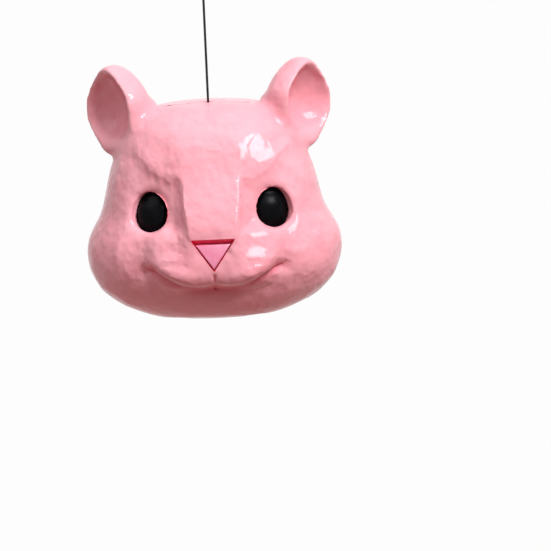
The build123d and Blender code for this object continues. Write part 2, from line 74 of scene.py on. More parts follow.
lens = bpy.data.cameras.new("camera")
lens.lens = lens.sensor_width * CAMERA_FAR / VIEW_WIDTH
lens.clip_end = CAMERA_END
camera = bpy.data.objects.new("camera", lens)
camera.matrix_world = Matrix((right, up, -look)).transposed().to_4x4()
camera.location = aim - look * CAMERA_FAR
scene.collection.objects.link(camera)
scene.camera = camera
scene.view_settings.view_transform = "Standard"


# Materials


def srgb(red, green, blue):
    """A colour written as it looks on a screen, 0 to 255."""
    parts = [level / 255 for level in (red, green, blue)]
    linear = [part / 12.92 if part <= 0.04045 else ((part + 0.055) / 1.055) ** 2.4 for part in parts]
    return (*linear, 1)


class Shade:
    """A socket of one finish, on which sums are written as on numbers."""

    def __init__(self, finish, socket):
        self.finish = finish
        self.socket = socket

    def sum(self, operation, first, second):
        return self.finish.node("Math", {"operation": operation}, {0: first, 1: second})

    def __add__(self, other):
        return self.sum("ADD", self, other)

    def __radd__(self, other):
        return self.sum("ADD", other, self)

    def __mul__(self, other):
        return self.sum("MULTIPLY", self, other)

    def __rmul__(self, other):
        return self.sum("MULTIPLY", other, self)

    def or_more(self, other):
        return self.sum("MAXIMUM", self, other)


class Finish:
    """The nodes of a material or of the world, and the one way in which they are made."""

    def __init__(self, owner, shader="Principled BSDF"):
        owner.use_nodes = True
        self.owner = owner
        self.tree = owner.node_tree
        self.shader = self.tree.nodes[shader]

    def feed(self, socket, value):
        if isinstance(value, Shade):
            self.tree.links.new(value.socket, socket)
        else:
            socket.default_value = value

    def node(self, kind, settings=None, sockets=None, output=0):
        made = self.tree.nodes.new("ShaderNode" + kind)
        for name, value in (settings or {}).items():
            setattr(made, name, value)
        for name, value in (sockets or {}).items():
            self.feed(made.inputs[name], value)
        return Shade(self, made.outputs[output])

    def place(self, scale, turn=(0, 0, 0)):
        """Object coordinates, stretched and turned."""
        start = self.node("TexCoord", output="Object")
        return self.node("Mapping", sockets={"Vector": start, "Scale": scale, "Rotation": turn})

    def noise(self, scale, detail, rough, at=None):
        where = at or self.node("TexCoord", output="Object")
        sockets = {"Vector": where, "Scale": scale, "Detail": detail, "Roughness": rough}
        return self.node("TexNoise", sockets=sockets)

    def cells(self, scale, at):
        return self.node("TexVoronoi", {"feature": "SMOOTH_F1"}, {"Vector": at, "Scale": scale})

    def spread(self, value, low, high):
        """A value stretched so that low becomes 0 and high becomes 1."""
        return self.node("MapRange", sockets={"Value": value, "From Min": low, "From Max": high})

    def blend(self, share, first, second):
        """The first colour where share is 0 and the second where it is 1."""
        settings = {"data_type": "RGBA", "blend_type": "MIX"}
        return self.node("Mix", settings, {0: share, 6: first, 7: second}, output=2)

    def mark(self, name):
        """A value that was painted on the points of the piece."""
        return self.node("Attribute", {"attribute_name": name}, output="Fac")

    def bump(self, height, distance, strength, under=None):
        sockets = {"Height": height, "Distance": distance, "Strength": strength}
        if under:
            sockets["Normal"] = under
        return self.node("Bump", sockets=sockets)

    def dress(self, **sockets):
        """Sets the shader's own sockets, with _ for a space."""
        for name, value in sockets.items():
            self.feed(self.shader.inputs[name.replace("_", " ")], value)
        return self.owner


def new_finish(name):
    return Finish(bpy.data.materials.new(name))


def pink_enamel():
    """Gloss enamel, brushed on carved wood."""
    finish = new_finish("pink_enamel")
    wash = finish.spread(finish.noise(scale=26, detail=4, rough=0.6), low=0.35, high=0.68)
    along_brush = finish.place(scale=(70, 70, 210), turn=(0.2, 0.5, 0.3))
    strokes = finish.spread(finish.noise(scale=1, detail=4, rough=0.6, at=along_brush), low=0.3, high=0.75)
    colour = finish.blend(wash, srgb(248, 160, 174), srgb(251, 174, 187))
    colour = finish.blend(strokes * 0.35, colour, srgb(253, 188, 198))
    # hollow is painted shade: a darker pink in creases, hollows and under the upper lip
    colour = finish.blend(finish.mark("hollow"), colour, srgb(222, 92, 112))
    # crest is painted highlight: a lighter pink on ridges
    colour = finish.blend(finish.mark("ridge_highlight") * 0.5, colour, srgb(255, 196, 202))
    # groove is the dark joint line between the halves, and painted shade on the wall of the wire hole
    colour = finish.blend(finish.mark("joint_line_and_hole_shade"), colour, srgb(92, 26, 38))
    colour = finish.blend(finish.mark("nose_pocket"), colour, srgb(246, 74, 112))
    chisel = finish.cells(scale=190, at=finish.place(scale=(1, 1, 0.75), turn=(0.4, 0.2, 0.6)))
    grain = finish.noise(scale=420, detail=3, rough=0.55)
    waves = finish.bump(finish.noise(scale=75, detail=2, rough=0.5), distance=0.0016, strength=0.8)
    cuts = finish.bump(chisel, distance=0.0012, strength=0.5, under=waves)
    fine = finish.bump(grain, distance=0.00012, strength=0.6, under=cuts)
    return finish.dress(
        Base_Color=colour,
        Roughness=0.34 + 0.16 * strokes,
        Specular_IOR_Level=0.08,
        Coat_Weight=0.45 + 0.2 * wash,
        Coat_Roughness=0.06,
        Coat_IOR=1.38,
        Normal=fine,
    )


def nose_enamel():
    """The nose's own pink, in thicker paint."""
    finish = new_finish("nose_enamel")
    wash = finish.spread(finish.noise(scale=150, detail=3, rough=0.6), low=0.3, high=0.7)
    return finish.dress(
        Base_Color=finish.blend(wash, srgb(254, 146, 182), srgb(255, 168, 198)),
        Roughness=0.32 + 0.1 * wash,
        Specular_IOR_Level=0.1,
        Coat_Weight=0.6,
        Coat_Roughness=0.1,
        Coat_IOR=1.4,
        Normal=finish.bump(finish.noise(scale=300, detail=3, rough=0.5), distance=0.0003, strength=0.5),
    )


def eye_gloss():
    """Black enamel, a little dusty."""
    finish = new_finish("eye_gloss")
    dust = finish.spread(finish.noise(scale=160, detail=5, rough=0.65), low=0.42, high=0.75)
    return finish.dress(
        Base_Color=finish.blend(dust, srgb(2, 3, 5), srgb(11, 12, 15)),
        Roughness=0.24 + 0.16 * dust,
        Specular_IOR_Level=0.055,
        Normal=finish.bump(finish.noise(scale=240, detail=3, rough=0.5), distance=0.0003, strength=0.4),
    )


def metal(name, colour, worn, rough, lines, bare=1.0):
    """Drawn or turned metal with fine lines and worn patches."""
    finish = new_finish(name)
    patches = finish.spread(finish.noise(scale=190, detail=5, rough=0.65), low=0.45, high=0.7)
    drawn = finish.noise(scale=1, detail=2, rough=0.5, at=finish.place(lines))
    return finish.dress(
        Base_Color=finish.blend(patches, colour, worn),
        Roughness=rough + 0.2 * patches,
        Metallic=bare,
        Normal=finish.bump(drawn, distance=0.00006, strength=0.5),
    )


def moulded(name, colour, pale, rough):
    """Moulded plastic with a fine grained skin."""
    finish = new_finish(name)
    cloud = finish.spread(finish.noise(scale=90, detail=4, rough=0.6), low=0.35, high=0.7)
    return finish.dress(
        Base_Color=finish.blend(cloud, colour, pale),
        Roughness=rough + 0.12 * cloud,
        Normal=finish.bump(finish.noise(scale=1500, detail=2, rough=0.5), distance=0.00008, strength=0.6),
    )


enamel = pink_enamel()
nose_paint = nose_enamel()
eye_paint = eye_gloss()
wire_paint = metal(
    "wire_black", srgb(22, 22, 24), srgb(52, 52, 54), rough=0.38, lines=(900, 900, 90), bare=0.6
)
ferrule_metal = metal(
    "ferrule_black", srgb(40, 40, 42), srgb(96, 95, 92), rough=0.35, lines=(500, 500, 1500), bare=0.9
)
zinc = metal("zinc", srgb(176, 180, 184), srgb(128, 131, 136), rough=0.28, lines=(1400, 1400, 300))
spring_steel = metal(
    "spring_steel", srgb(120, 122, 128), srgb(80, 80, 86), rough=0.32, lines=(300, 1400, 300)
)
cup_plastic = moulded("cup_plastic", srgb(238, 234, 226), srgb(250, 247, 240), rough=0.38)
cap_plastic = moulded("cap_plastic", srgb(38, 38, 40), srgb(58, 58, 60), rough=0.42)


# Carving

FACING_LEAST = 0.02
SKIN_CLEAR = 0.4
FACET_SEAT_SHARE = 0.3
FACET_SKIN_SHARE = 0.01
FACET_SPREAD = 12
MERGE_GAP = 1e-6
AROUND = (-1, 0, 1)
to_crown = Vector((0, 0, CROWN))


def new_piece(name, bm, material):
    mesh = bpy.data.meshes.new(name)
    bm.to_mesh(mesh)
    bm.free()
    piece = bpy.data.objects.new(name, mesh)
    scene.collection.objects.link(piece)
    piece.data.materials.append(material)
    return piece


def merged(names):
    """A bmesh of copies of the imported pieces, with their loose triangles joined."""
    bm = bmesh.new()
    for name in names:
        bm.from_mesh(nodes[name].data)
    bmesh.ops.remove_doubles(bm, verts=bm.verts, dist=MERGE_GAP)
    return bm


def settle(piece):
    """Makes what a piece's modifiers show its own mesh."""
    shown = piece.evaluated_get(bpy.context.evaluated_depsgraph_get())
    mesh = bpy.data.meshes.new_from_object(shown)
    piece.modifiers.clear()
    piece.data = mesh


def skin(name, bm, voxel, material):
    """One closed, even skin over a bmesh."""
    piece = new_piece(name, bm, material)
    cover = piece.modifiers.new("cover", "REMESH")
    cover.mode = "VOXEL"
    cover.voxel_size = voxel
    settle(piece)
    piece.data.materials.clear()
    piece.data.materials.append(material)
    return piece


def combine(piece, tool, operation):
    """Cuts a piece with a closed tool or joins the two, and removes the tool."""
    change = piece.modifiers.new("change", "BOOLEAN")
    change.operation = operation
    change.solver = "EXACT"
    change.object = tool
    settle(piece)
    bpy.data.objects.remove(tool)


def smooth(piece, crisp=45):
    """Shades a piece smooth, but for edges that turn by more than crisp degrees."""
    for face in piece.data.polygons:
        face.use_smooth = True
    piece.data.set_sharp_from_angle(angle=math.radians(crisp))
    return piece


def step(low, high, values):
    """0 up to low, 1 from high on and a soft rise between."""
    share = np.clip((values - low) / (high - low), 0, 1)
    return share * share * (3 - 2 * share)


def mound(along, centre, reach):
    return np.exp(-(((along - centre) / reach) ** 2))


class Carving:
    """The points of a piece, on which forms are cut and raised."""

    def __init__(self, piece):
        self.mesh = piece.data
        count = len(self.mesh.vertices)
        places = np.empty(count * 3, np.float32)
        self.mesh.vertices.foreach_get("co", places)
        self.points = places.reshape(-1, 3).astype(float) * MM
        self.points[:, 2] -= CROWN * MM
        pairs = np.empty(len(self.mesh.edges) * 2, np.int32)
        self.mesh.edges.foreach_get("vertices", pairs)
        self.pairs = pairs.reshape(-1, 2)
        self.touching = np.maximum(np.bincount(self.pairs.ravel(), minlength=count), 1)
        self.face()

    def face(self):
        """Writes the points and reads which way the skin faces at each."""
        places = self.points.copy()
        places[:, 2] += CROWN * MM
        self.mesh.vertices.foreach_set("co", (places / MM).astype(np.float32).ravel())
        self.mesh.update()
        ways = np.empty(len(self.mesh.vertices) * 3, np.float32)
        self.mesh.vertex_normals.foreach_get("vector", ways)
        self.ways = ways.reshape(-1, 3).astype(float)

    def means(self, values):
        """Each point's mean over the points that it touches."""
        first, second = self.pairs[:, 0], self.pairs[:, 1]
        count = len(values)
        total = np.bincount(first, values[second], count) + np.bincount(second, values[first], count)
        return total / self.touching

    def ease(self, share, rounds):
        """Softens the skin where share is above 0."""
        for _ in range(rounds):
            for axis in range(3):
                line = self.points[:, axis]
                line += (self.means(line) - line) * 0.5 * share

    def spread(self, values, rounds):
        for _ in range(rounds):
            values = (values + self.means(values)) / 2
        return values

    def bends(self):
        """How far each point stands proud of its neighbours."""
        bend = np.zeros(len(self.points))
        for line, way in zip(self.points.T, self.ways.T):
            bend += (line - self.means(line)) * way
        return self.spread(bend, rounds=3)

    def shown(self, way):
        """Which points see the open along a direction."""
        corners = [Vector(point) for point in self.points]
        tree = BVHTree.FromPolygons(corners, [tuple(face.vertices) for face in self.mesh.polygons])
        aim = Vector(way).normalized()
        facing = self.ways @ np.array(aim) > FACING_LEAST
        free = np.zeros(len(self.points), bool)
        for index in np.flatnonzero(facing):
            start = Vector(self.points[index]) + Vector(self.ways[index]) * SKIN_CLEAR
            free[index] = tree.ray_cast(start, aim)[0] is None
        return free

    def gap_to(self, names):
        """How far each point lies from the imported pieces."""
        bm = merged(names)
        tree = BVHTree.FromBMesh(bm)
        bm.free()
        return np.array([tree.find_nearest(Vector(point) / MM + to_crown)[3] for point in self.points]) * MM

    def mark(self, name, values):
        made = self.mesh.attributes.new(name, "FLOAT", "POINT")
        made.data.foreach_set("value", np.clip(values, 0, 1).astype(np.float32))

    def facet_seats(self, share, gap, seed):
        """Points picked at random that lie at least gap apart."""
        order = np.random.default_rng(seed).permutation(np.flatnonzero(share > FACET_SEAT_SHARE))
        seats = []
        taken = {}
        for index in order:
            cell = tuple(np.floor(self.points[index] / gap).astype(int))
            near = [
                other
                for x in AROUND
                for y in AROUND
                for z in AROUND
                for other in taken.get((cell[0] + x, cell[1] + y, cell[2] + z), ())
            ]
            if all(np.sum((self.points[other] - self.points[index]) ** 2) > gap * gap for other in near):
                taken.setdefault(cell, []).append(index)
                seats.append(index)
        return seats

    def chisel(self, share, gap, depth, bite, seed):
        """Flattens the skin into facets about gap across."""
        seats = self.facet_seats(share, gap, seed)
        tree = KDTree(len(seats))
        for place, index in enumerate(seats):
            tree.insert(self.points[index], place)
        tree.balance()
        flat = np.stack([self.spread(self.ways[:, axis], FACET_SPREAD) for axis in range(3)], 1)
        flat /= np.linalg.norm(flat, axis=1)[:, None] + 1e-9
        kept = np.flatnonzero(share > FACET_SKIN_SHARE)
        owner = np.array([tree.find(self.points[index])[1] for index in kept])
        seat = np.array(seats)[owner]
        lift = np.sum((self.points[seat] - self.points[kept]) * flat[seat], 1)
        counts = np.maximum(np.bincount(owner, minlength=len(seats)), 1)
        mean = np.bincount(owner, lift, len(seats)) / counts
        lift = np.clip(lift - mean[owner], -depth, depth) * bite * share[kept]
        self.points[kept] += flat[seat] * lift[:, None]


# Forms of the head

# A pair is where a form starts and where it is full, or the middle and the reach of a mound.
# BROW_SCALLOPS and BROW_DEPTHS hold the left and the right, EAR_CUP_HALVES the outer and the inner half,
# SEAM_WIDTHS the left of the crown and the rest, and other pairs of HALVES the half width and half height.
# DROPS are heights, which are negative below the wire hole.

EARS = ["left_ear", "right_ear"]
LEFT, RIGHT = -1, 1

HEAD_HEIGHT = 133.5
NECK_FORWARD = 15
NECK_TILT = math.radians(25)
NECK_ROUND = (5, 2.5)
NECK_ROUNDS = 30

HOLE_EDGE = (3.4, 2.6)
HOLE_FOOT = -8
LIGHT_EASE = 0.35


def round_neck(carving):
    """Rounds the edges of the neck opening."""
    y, z = carving.points[:, 1], carving.points[:, 2]
    above = (z + HEAD_HEIGHT) * math.cos(NECK_TILT) - (y + NECK_FORWARD) * math.sin(NECK_TILT)
    carving.ease(step(*NECK_ROUND, above), NECK_ROUNDS)


def wire_hole_shade(carving):
    """1 on the wall of the hole in the crown, which is painted dark there as shade."""
    x, y, z = carving.points.T
    return step(*HOLE_EDGE, np.hypot(x, y)) * (z > HOLE_FOOT)


# Forehead and brows

BAND_DROPS = [-84, -58, -35, -20]
BAND_HALVES = [13.5, 16.5, 18, 19]
BAND_LEVELS = np.arange(-78, -12, 3.0)
BAND_LEVEL_HALF = 2
BAND_CURVE = 5
BAND_RIDGE_HALF = 3
BAND_EDGE_HALF = 2.5
BAND_BOW = 0.0012
BAND_FADE = 17
BAND_TOP = (-14, -30)
BAND_FOOT = (-84, -76)

SIDE_DEPTH = 1.4
SIDE_START = (0, 13)
SIDE_END = (34, 16)
SIDE_TOP = (-16, -26)
SIDE_FOOT = (-64, -50)

BROW_PLACES = [16, 27, 37, 43, 50, 58]
BROW_DROPS = [-43, -45, -39, -31, -25, -22]
BROW_SCALLOPS = (1.6, 0.5)
BROW_SCALLOP_WIDTH = 6.3
BROW_DEPTHS = (3.0, 2.4)
BROW_FADE = 4.5
BROW_FOOT = (-90, -66)
BROW_END = (60, 44)
BROW_START = (-1, 4)


def level_curve(z, values, picked):
    """A smooth curve through the mean of values at each of the band's levels."""
    means = [np.mean(values[picked & (np.abs(z - level) < BAND_LEVEL_HALF)]) for level in BAND_LEVELS]
    return np.polyval(np.polyfit(BAND_LEVELS, means, BAND_CURVE), z)


def carve_forehead(carving, front):
    """A flat band from the crown to the nose with crisp edges, and planes under the brows beside it."""
    x, y, z = carving.points.T
    across = np.abs(x)
    half = np.interp(z, BAND_DROPS, BAND_HALVES)
    ridge = level_curve(z, y, front & (across < BAND_RIDGE_HALF))
    edge = level_curve(z, y, front & (np.abs(across - half) < BAND_EDGE_HALF))
    band = ridge + BAND_BOW * np.minimum(across, half) ** 2
    fall = np.maximum(0, 1 - (across - half) / BAND_FADE)
    wanted = np.where(across <= half, band, y + (band - edge) * fall)
    y += front * step(*BAND_TOP, z) * step(*BAND_FOOT, z) * (wanted - y)

    beside = np.maximum(0, across - half)
    slope = SIDE_DEPTH * step(*SIDE_START, beside) * step(*SIDE_END, beside)
    y += front * slope * step(*SIDE_TOP, z) * step(*SIDE_FOOT, z)

    scallop = np.where(x < 0, *BROW_SCALLOPS) * np.abs(np.sin(across * math.pi / BROW_SCALLOP_WIDTH))
    brow = np.interp(across, BROW_PLACES, BROW_DROPS) + scallop
    under = np.maximum(0, brow - z)
    plane = (1 - np.exp(-under / BROW_FADE)) * step(*BROW_FOOT, z) * step(*BROW_END, across)
    start, full = BROW_START
    y += front * plane * step(half + start, half + full, across) * np.where(x < 0, *BROW_DEPTHS)


# Muzzle and mouth

NOSE_SET_BACK = 0.4
nose_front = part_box("nose")[0].y * MM - NOSE_SET_BACK

MUZZLE_BACK = 0.3
MUZZLE_FLAT = 9
MUZZLE_LEVEL = -90
MUZZLE_BOW_ACROSS = 0.0105
MUZZLE_BOW_DOWN = 0.014
MUZZLE_FILL = 9
MUZZLE_START = (8, 13)
MUZZLE_END = (54, 32)
MUZZLE_TOP = (-70, -79)
MUZZLE_FOOT = (-112, -104)
MUZZLE_ROUNDS = 20

MOUTH_PLACES = [0, 4, 10, 18, 26, 33, 38, 43, 48]
MOUTH_DROPS = [-111.3, -111.8, -111.4, -109.2, -105.3, -101.2, -98.6, -97.2, -97.2]
MOUTH_CURVE = 5
mouth_bow = np.polyfit(MOUTH_PLACES, MOUTH_DROPS, MOUTH_CURVE)
MOUTH_END = (45, 35)
LIP_RISE = 2.9
LIP_ROLL = 5
# LIP_SHADE is painted shade: a darker band along the line of the mouth, under the upper lip
LIP_SHADE = 0.55
LIP_SHADE_LINE = (-1, 4.5)
LIP_SHADE_END = (46, 36)
CHIN_DEPTH = 4.0
CHIN_FADE = 9
CHIN_FRONT = -24
CHIN_HALF = 50
DIMPLE_DEPTH = 2.8
DIMPLE_ACROSS = (41, 6)
DIMPLE_DROP = (-98.8, 3.8)
CHEEK_RISE = 1.8
CHEEK_ACROSS = (59, 10)
CHEEK_DROP = (-98, 12)
SPLIT_DEPTH = 1.7
SPLIT_ACROSS = (0, 1.0)
SPLIT_TOP = (-100.5, -102.5)
SPLIT_FOOT = (-113.5, -111.5)


def above_mouth(points):
    """How far each point lies above the line of the mouth."""
    across = np.minimum(np.abs(points[:, 0]), MOUTH_PLACES[-1])
    return points[:, 2] - np.polyval(mouth_bow, across)


def carve_muzzle(carving, front):
    """A puffy muzzle that runs from the nose into the cheeks."""
    x, y, z = carving.points.T
    across = np.abs(x)
    dome = nose_front + MUZZLE_BACK + MUZZLE_BOW_ACROSS * np.maximum(0, across - MUZZLE_FLAT) ** 2
    dome = dome + MUZZLE_BOW_DOWN * (z - MUZZLE_LEVEL) ** 2
    hollow = np.maximum(0, y - dome)
    here = front * step(*MUZZLE_END, across) * step(*MUZZLE_TOP, z) * step(*MUZZLE_FOOT, z)
    y -= here * step(*MUZZLE_START, across) * MUZZLE_FILL * (1 - np.exp(-hollow / MUZZLE_FILL))
    carving.ease(here, MUZZLE_ROUNDS)


def carve_mouth(carving, front):
    """The upper lip stands over the chin, with a dimple at each corner and a split under the nose."""
    x, y, z = carving.points.T
    across = np.abs(x)
    above = above_mouth(carving.points)
    reach = step(*MOUTH_END, across)
    roll = np.maximum(above, 0) / LIP_ROLL
    y -= front * reach * LIP_RISE * roll * np.exp(1 - roll)
    chin = (above < 0) & (y < CHIN_FRONT) & (across < CHIN_HALF)
    y += chin * reach * CHIN_DEPTH * np.exp(above / CHIN_FADE)
    y += front * DIMPLE_DEPTH * mound(across, *DIMPLE_ACROSS) * mound(z, *DIMPLE_DROP)
    y -= front * CHEEK_RISE * mound(across, *CHEEK_ACROSS) * mound(z, *CHEEK_DROP)
    y += front * SPLIT_DEPTH * mound(x, *SPLIT_ACROSS) * step(*SPLIT_TOP, z) * step(*SPLIT_FOOT, z)


# Ears

EAR_TURN = math.radians(50)
EAR_LEAN = math.radians(6)
EAR_MIDDLE = (57.6, 3, -4)
EAR_INNER = 25
EAR_TIP_DRAW = 0.30
EAR_TIP = (6, 30)
EAR_LOBE_DRAW = 0.20
EAR_LOBE = (-2, -20)
EAR_LOBE_SIDE = (0, 8)
EAR_SKIN = (2.0, 0.6)

EAR_CUP_HALVES = (22.0, 20.6)
EAR_CUP_RAISE = 0.5
EAR_CUP_TALL = 25.6
EAR_CUP_RIM = 8.4
EAR_CUP_DEPTH = 15
EAR_CUP_FOOT = (-25, -9)
EAR_CUP_FACING = -0.1
EAR_CUP_BACK = -9


def carve_ear(carving, outside, from_ears, side):
    """A deep cup with a thin rim, drawn in at its tip and its lobe."""
    upright = np.array((0, 0, 1))
    facing = np.array((side * math.sin(EAR_TURN), -math.cos(EAR_TURN), 0))
    level = np.array((side * math.cos(EAR_TURN), math.sin(EAR_TURN), 0))
    over = level * math.cos(EAR_LEAN) - upright * math.sin(EAR_LEAN)
    upward = level * math.sin(EAR_LEAN) + upright * math.cos(EAR_LEAN)
    middle_across, middle_back, middle_up = EAR_MIDDLE
    from_middle = carving.points - np.array((side * middle_across, middle_back, middle_up))
    across, along, out = from_middle @ over, from_middle @ upward, from_middle @ facing
    beside = side * carving.points[:, 0] > EAR_INNER

    narrow = EAR_TIP_DRAW * step(*EAR_TIP, along)
    narrow = narrow + EAR_LOBE_DRAW * step(*EAR_LOBE, along) * step(*EAR_LOBE_SIDE, across)
    draw = -across * narrow * step(*EAR_SKIN, from_ears) * beside
    carving.points += over * draw[:, None]
    across = across + draw

    half = np.where(across > 0, *EAR_CUP_HALVES) * (1 - narrow)
    inside = 1 - (across / half) ** 2 - ((along - EAR_CUP_RAISE) / EAR_CUP_TALL) ** 2
    floor = EAR_CUP_RIM - EAR_CUP_DEPTH * np.clip(inside, 0, 1) * step(*EAR_CUP_FOOT, along)
    cup = outside & beside & (inside > 0) & (carving.ways @ facing > EAR_CUP_FACING)
    cup = cup & (out > EAR_CUP_BACK) & (from_ears < EAR_SKIN[0])
    carving.points += facing * (cup * np.minimum(0, floor - out))[:, None]


# Eyes, whose recess, rise and dome are in metres

EYE_TURN = math.radians(20)
EYE_TILT = math.radians(10)
EYE_RECESS = 0.0015
EYE_RISE = 0.0008
EYE_HALVES = (11, 14)
EYE_ROOM = (1.75, 1.15)
EYE_ROOM_BACK = (-5.0, -2.5)
EYE_ROOM_FRONT = (30, 20)
EYE_WIDER = 0.09
EYE_SHORTER = 0.085
EYE_LOWER = 0.5

DOME_BACK = 0.0062
DOME_ACROSS = 0.01055
DOME_UP = 0.0130
DOME_OUT = 0.0070
DOME_NARROWING = 0.10
DOME_VOXEL = 0.0005
DOME_EASE = 0.8
DOME_ROUNDS = 6


def eye_axes(side):
    """The eye's facing, its across and its up, on the side that the sign gives."""
    flat = math.cos(EYE_TILT)
    facing = Vector((side * math.sin(EYE_TURN) * flat, -math.cos(EYE_TURN) * flat, math.sin(EYE_TILT)))
    over = Vector((math.cos(EYE_TURN), side * math.sin(EYE_TURN), 0))
    return facing, over, facing.cross(over) * -1


def eye_peak(vertices, facing):
    return max((vertex.co for vertex in vertices), key=lambda place: place.dot(facing)).copy()


def squat_eye(carving, name, side):
    """Makes an eye's oval a little wider and lower, the same in its socket as on the eye."""
    facing, over, upward = eye_axes(side)
    peak = eye_peak(nodes[name].data.vertices, facing)
    seat = (peak + facing * EYE_RECESS + upward * EYE_RISE - to_crown) * MM
    apart = carving.points - np.array(seat)
    u, v, w = apart @ np.array(over), apart @ np.array(upward), apart @ np.array(facing)
    half_across, half_up = EYE_HALVES
    share = step(*EYE_ROOM, np.hypot(u / half_across, v / half_up))
    share = share * step(*EYE_ROOM_BACK, w) * step(*EYE_ROOM_FRONT, w)
    carving.points += np.array(over) * (EYE_WIDER * u * share)[:, None]
    carving.points -= np.array(upward) * ((EYE_SHORTER * v + EYE_LOWER) * share)[:, None]


def glass_eye(name, side):
    """A full egg-shaped dome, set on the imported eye's foot."""
    facing, over, upward = eye_axes(side)
    bm = merged([name])
    centre = eye_peak(bm.verts, facing) - facing * DOME_BACK
    dome = bmesh.ops.create_uvsphere(bm, u_segments=48, v_segments=32, radius=1)["verts"]
    for vertex in dome:
        u, v, w = vertex.co
        across = u * DOME_ACROSS * (1 - DOME_NARROWING * v)
        vertex.co = centre + over * across + upward * (v * DOME_UP) + facing * (w * DOME_OUT)
    piece = smooth(skin("glass_" + name, bm, DOME_VOXEL, eye_paint))
    carving = Carving(piece)
    carving.ease(np.full(len(carving.points), DOME_EASE), DOME_ROUNDS)
    squat_eye(carving, name, side)
    carving.face()
    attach(piece, "head")
    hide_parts(name)


# Nose

# A row is an outline: depths of its top and tip behind the nose's front, half width, top and tip.
# The bevels, the stem's radius and the two smallest gaps are in metres.

NOSE_FILL = [(1.2, 1.2, 13.5, -80.2, -101.5), (5.1, 5.1, 14.5, -79.4, -103)]
NOSE_POCKET = [(-6, -6, 17.1, -75.1, -99.9), (5.2, 5.2, 11.7, -82.4, -99.2)]
NOSE_PLUG = [(1.3, -0.2, 10.5, -83.0, -98.0), (4.9, 4.9, 11.2, -82.7, -98.8)]
NOSE_BEVEL = 0.0007
NOSE_CRISP = 30
STEM_START = 4
STEM_RADIUS = 0.0025
STEM_BEVEL = 0.0004
STEM_END_GAP = 1e-5

POCKET_HALF = 20
POCKET_FRONT = -45
POCKET_DROPS = (-108, -70)
POCKET_TOUCH = 0.00005


def nose_block(rows):
    """A triangular block through two outlines."""
    bm = bmesh.new()
    for top_depth, tip_depth, half, top, tip in rows:
        for x, depth, z in ((-half, top_depth, top), (half, top_depth, top), (0, tip_depth, tip)):
            bm.verts.new((x / MM, (nose_front + depth) / MM, z / MM + CROWN))
    bmesh.ops.convex_hull(bm, input=bm.verts)
    return bm


def cut_nose_pocket(piece):
    """Cuts the recess of the nose, and gives the carving of the cut piece and 1 on the recess's walls."""
    tool = nose_block(NOSE_POCKET)
    walls = BVHTree.FromBMesh(tool)
    combine(piece, new_piece("nose_tool", tool, enamel), "DIFFERENCE")
    carving = Carving(piece)
    x, y, z = carving.points.T
    low, high = POCKET_DROPS
    near = (np.abs(x) < POCKET_HALF) & (y < POCKET_FRONT) & (z < high) & (z > low)
    pocket = np.zeros(len(x))
    for index in np.flatnonzero(near):
        gap = walls.find_nearest(Vector(carving.points[index]) / MM + to_crown)[3]
        pocket[index] = gap < POCKET_TOUCH
    return carving, pocket


def nose_plug():
    """A bevelled triangular plug on its stem."""
    bm = nose_block(NOSE_PLUG)
    front = set(list(bm.verts)[:3])
    rim = [edge for edge in bm.edges if front.issuperset(edge.verts)]
    bmesh.ops.bevel(bm, geom=rim, offset=NOSE_BEVEL, segments=3, profile=0.5, affect="EDGES", material=-1)
    plug = new_piece("nose_plug", bm, nose_paint)
    low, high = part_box("nose")
    start = (nose_front + STEM_START) / MM
    middle = Matrix.Translation((0, (start + high.y) / 2, (low.z + high.z) / 2))
    stem = bmesh.new()
    bmesh.ops.create_cone(
        stem,
        cap_ends=True,
        segments=32,
        radius1=STEM_RADIUS,
        radius2=STEM_RADIUS,
        depth=high.y - start,
        matrix=middle @ Matrix.Rotation(math.pi / 2, 4, "X"),
    )
    end = high.y - STEM_END_GAP
    tip = [edge for edge in stem.edges if all(vertex.co.y > end for vertex in edge.verts)]
    bmesh.ops.bevel(stem, geom=tip, offset=STEM_BEVEL, segments=2, profile=0.5, affect="EDGES", material=-1)
    combine(plug, new_piece("stem", stem, nose_paint), "UNION")
    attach(smooth(plug, NOSE_CRISP), "head")
    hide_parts("nose")


# Face, with both ears

FACE_VOXEL = 0.00138
FACE_SIDES = [(0, -0.4, 1), (1, 0, 0.1), (-1, 0, 0.1)]
FINE_FRONT = -30
FINE_WAY = -0.15
FINE_HALF = 62
FINE_DROPS = (-122, -18)

NEAR_EAR = (3.0, 1.0)
EYE_ACROSS = 39.6
EYE_DROP = -63.4
SOCKET_HALVES = (13, 16.5)

SOFT_EYE = (1.0, 1.35)
SOFT_FOOT = (-126, -116)
SOFT_END = (72, 54)
CROWN_FOOT = (-34, -16)
CROWN_FRONT = (-2, -7)
ROOT_REACH = (0, 7)
ROOT_FRONT = (-1, -5)
SOFT_ROUNDS = 45
JOINT_REACH = (0, 5)
JOINT_EASE = 1.5
JOINT_ROUNDS = 30
EAR_EASE = 0.7
EAR_ROUNDS = 9

CUT_FRONT = (-2, -8)
FACET_EYE = (1.1, 1.6)
FACET_SIDE = (42, 56)
FACET_FOOT = (-52, -40)
FACET_TOP = (-14, -24)
SOFT_BROW_ACROSS = (-23.5, 8)
SOFT_BROW_DROP = (-32, 8)
SOFT_BROW_ROUNDS = 14
NICK_EYE = (1.15, 1.5)
NICK_INNER = 6
NICK_TOP = (-30, -50)
NOSE_ROOM_HALF = 16
NOSE_ROOM_DROPS = (-103, -77)
SOCKET_EDGE_INNER = (0.7, 0.78)
SOCKET_EDGE_OUTER = (1.25, 1.0)
SOCKET_ROUNDS = 8

# Gains of the painted highlight on ridges and of the painted shade in hollows
RIDGE_HIGHLIGHT_GAIN = 5
FACE_CREASE_SHADE_GAIN = 4
SEAM_WIDTHS = (2.2, 0.7)
SEAM_WIDE_FOOT = -25
SEAM_SOFT = 0.4
SEAM_CROWN_HALF = 38
SEAM_SIDE_TOP = -32


